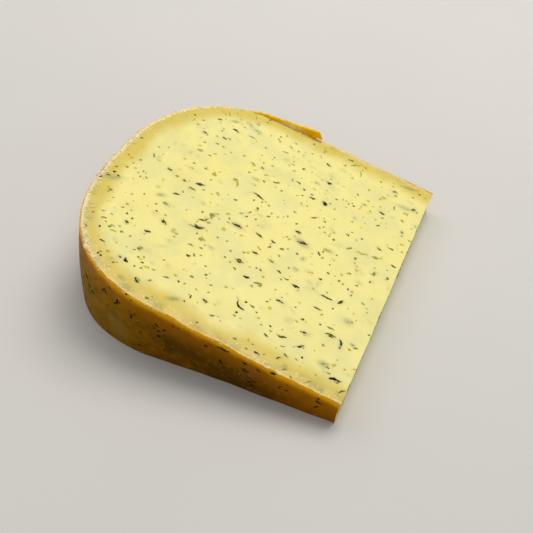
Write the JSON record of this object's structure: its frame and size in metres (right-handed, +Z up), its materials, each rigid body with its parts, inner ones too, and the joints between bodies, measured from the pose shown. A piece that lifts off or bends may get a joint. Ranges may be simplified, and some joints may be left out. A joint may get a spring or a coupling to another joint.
{
  "type": "cheese wedge",
  "caption": "Wedge of semi-hard cheese with herbs, its tip cut off, lying on one cut face, with a thin waxy rind round the rim and both sides.",
  "frame": {"origin": "middle of the wedge's box, on the plane of the lower cut face that it lies on", "axes": "+Z up, +Y along the axis of the wheel that it was cut from, +X from the curved rim towards the cut tip"},
  "size_m": [0.0965, 0.1009, 0.0289],
  "materials": {
    "paste": "satin",
    "rind": "satin",
    "herbs": "matte",
    "bloom": "matte"
  },
  "bodies": {
    "root": {"cheese_wedge": "paste"}
  },
  "joints": []
}
